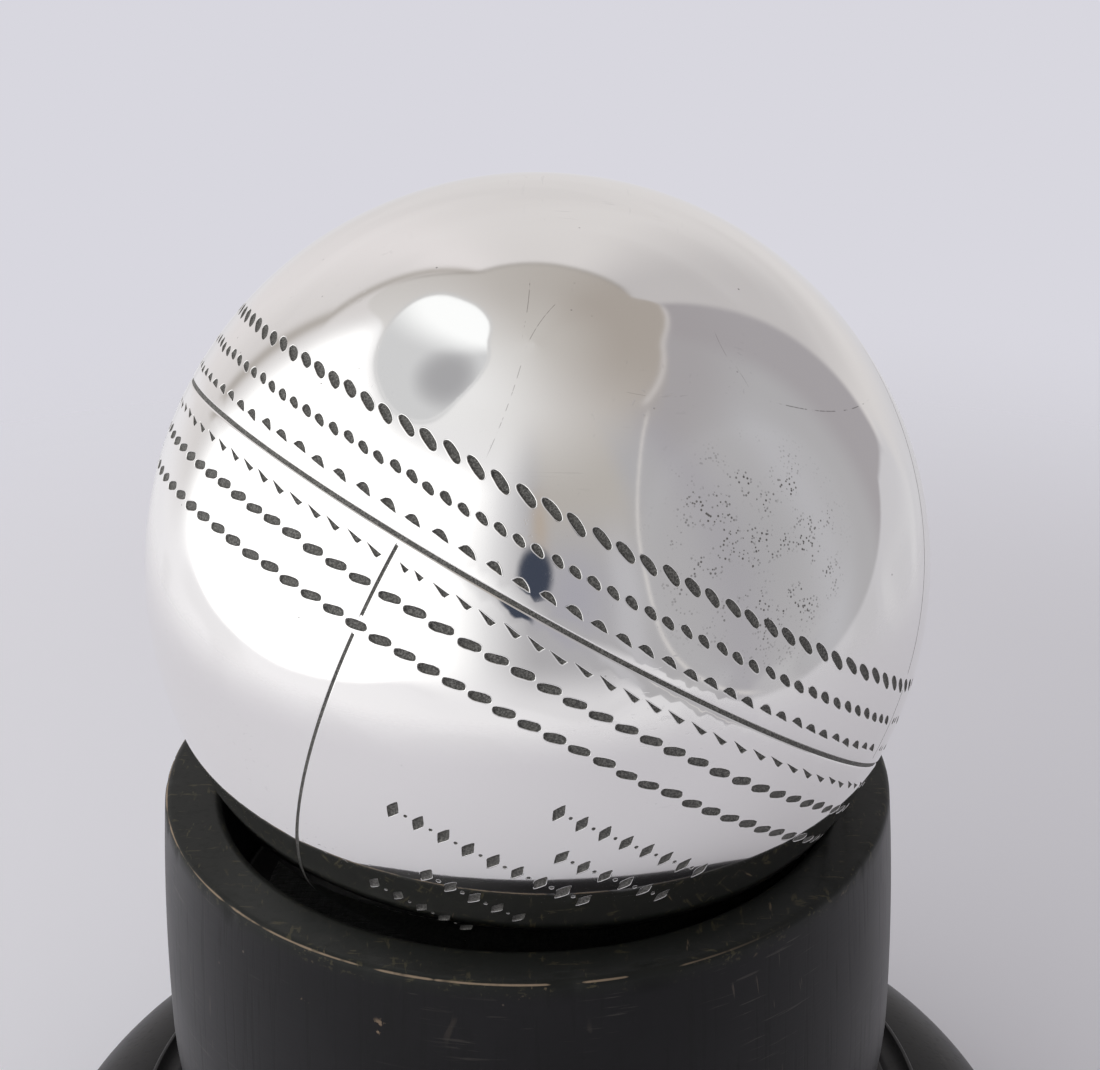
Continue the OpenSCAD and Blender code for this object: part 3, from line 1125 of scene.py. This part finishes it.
def worn_and_highlit_rim(m, colour, rough):
    """The drum's rim: duller and scratched on top, and rubbed through to the wood along its edge, with a
    painted highlight on that edge on the left side.
    """
    radius = (m.x ** 2 + m.y ** 2) ** 0.5
    top = (m.z - (RIM_Z - 1.9) * MM).rise(0, 0.0015) * radius.rise(0.0285, 0.0305)
    colour = m.paint(colour, (0.0060, 0.0072, 0.0052), top * 0.8)
    strokes = m.noise((2100, 520, 2100), 3, (0, 0, 0.7)).rise(0.60, 0.68)
    strokes = strokes + m.noise((520, 2300, 2300), 3, (0, 0, 0.2)).rise(0.60, 0.68)
    strokes = (strokes * m.noise(330).rise(0.42, 0.58) * top).op("MINIMUM", 1)
    colour = m.paint(colour, (0.060, 0.052, 0.026), strokes * 0.6)
    bare = m.noise((1500, 260, 1500), 3, (0, 0, 1.9)).rise(0.66, 0.72)
    bare = bare * m.noise(150).rise(0.5, 0.6) * top
    colour = m.paint(colour, (0.14, 0.105, 0.065), bare * 0.6)
    # The rim's edge line: bare wood rubbed through, and partly a painted highlight of the lit bevel, on the
    # left side only.
    out = (radius - (RIM_R - 0.16) * MM) / MM
    up = (m.z - (RIM_Z - 0.2) * MM) / MM
    width = m.noise(160, 3) * 0.20 - 0.025
    on_line = ((out ** 2 + up ** 2) ** 0.5 - width).fall(-0.04, 0.04)
    left = (m.x * -1 + m.y * -0.35).rise(-0.016, 0.012)
    worn_and_highlit_edge = on_line * m.noise(420).rise(0.28, 0.45) * left
    colour = m.paint(colour, (0.30, 0.225, 0.155), worn_and_highlit_edge * 0.8)
    return colour, rough + worn_and_highlit_edge * 0.2 + top * 0.12


def cloth_material(name, dark, light):
    """Dense felted wool."""
    m = Finish(name)
    fibre = m.noise((2600, 700, 900), 3) + m.noise((700, 2900, 900), 3, (0, 0, 0.6))
    colour = m.paint(dark, light, (fibre * 0.5).rise(0.38, 0.62))
    return m.close(
        Base_Color=colour, Roughness=0.95, Sheen_Weight=0.35, Sheen_Roughness=0.5,
        Normal=m.bump(fibre, 0.0002, 0.7),
    )


def steel_material():
    """Plain steel, turned and a little dull."""
    m = Finish("plain_steel")
    turned = m.noise((300, 300, 4000), 2)
    stains = m.noise(500, 3).rise(0.5, 0.75)
    colour = m.paint((0.5, 0.5, 0.52), (0.24, 0.2, 0.17), stains * 0.5)
    rough = turned * 0.2 + 0.28
    return m.close(Base_Color=colour, Metallic=1.0, Roughness=rough, Normal=m.bump(turned, 0.00003, 0.4))


# ---- the scene
make_camera()
make_studio_light()
make_floor()

silver = silver_material()
oxide = oxide_material()
felt_cloth = cloth_material("black_felt", (0.006, 0.0065, 0.006), (0.022, 0.024, 0.022))
baize_cloth = cloth_material("green_baize", (0.006, 0.035, 0.018), (0.018, 0.085, 0.045))

make_shell("upper_silver_shell", 1, UPPER_ROWS, UPPER_QUARTER, "upper_shell", [silver, oxide])
make_shell("lower_silver_shell", -1, LOWER_ROWS, LOWER_QUARTER, "lower_shell", [silver, oxide])
make_column(wood_material("ebonised_rim", True))
make_foot(wood_material("ebonised_wood", False))

felt_r = 27.5
felt = make_disc("felt_pad", felt_r, felt_lo.z / MM, felt_hi.z / MM, BALL_X, felt_cloth)
finish_piece(felt, "felt", "felt_disc")

baize_r = baize_hi.x / MM
baize = make_disc("baize_base", baize_r, baize_lo.z / MM, baize_hi.z / MM, 0, baize_cloth)
finish_piece(baize, "plinth", "baize_pad")

for node, material in (
    ("solder_line", oxide),
    ("joining_band", silver),
    ("vent_plug", silver),
    ("foot_screw", steel_material()),
):
    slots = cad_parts[node].data.materials
    slots.clear()
    slots.append(material)

bpy.context.scene.view_settings.view_transform = "Standard"
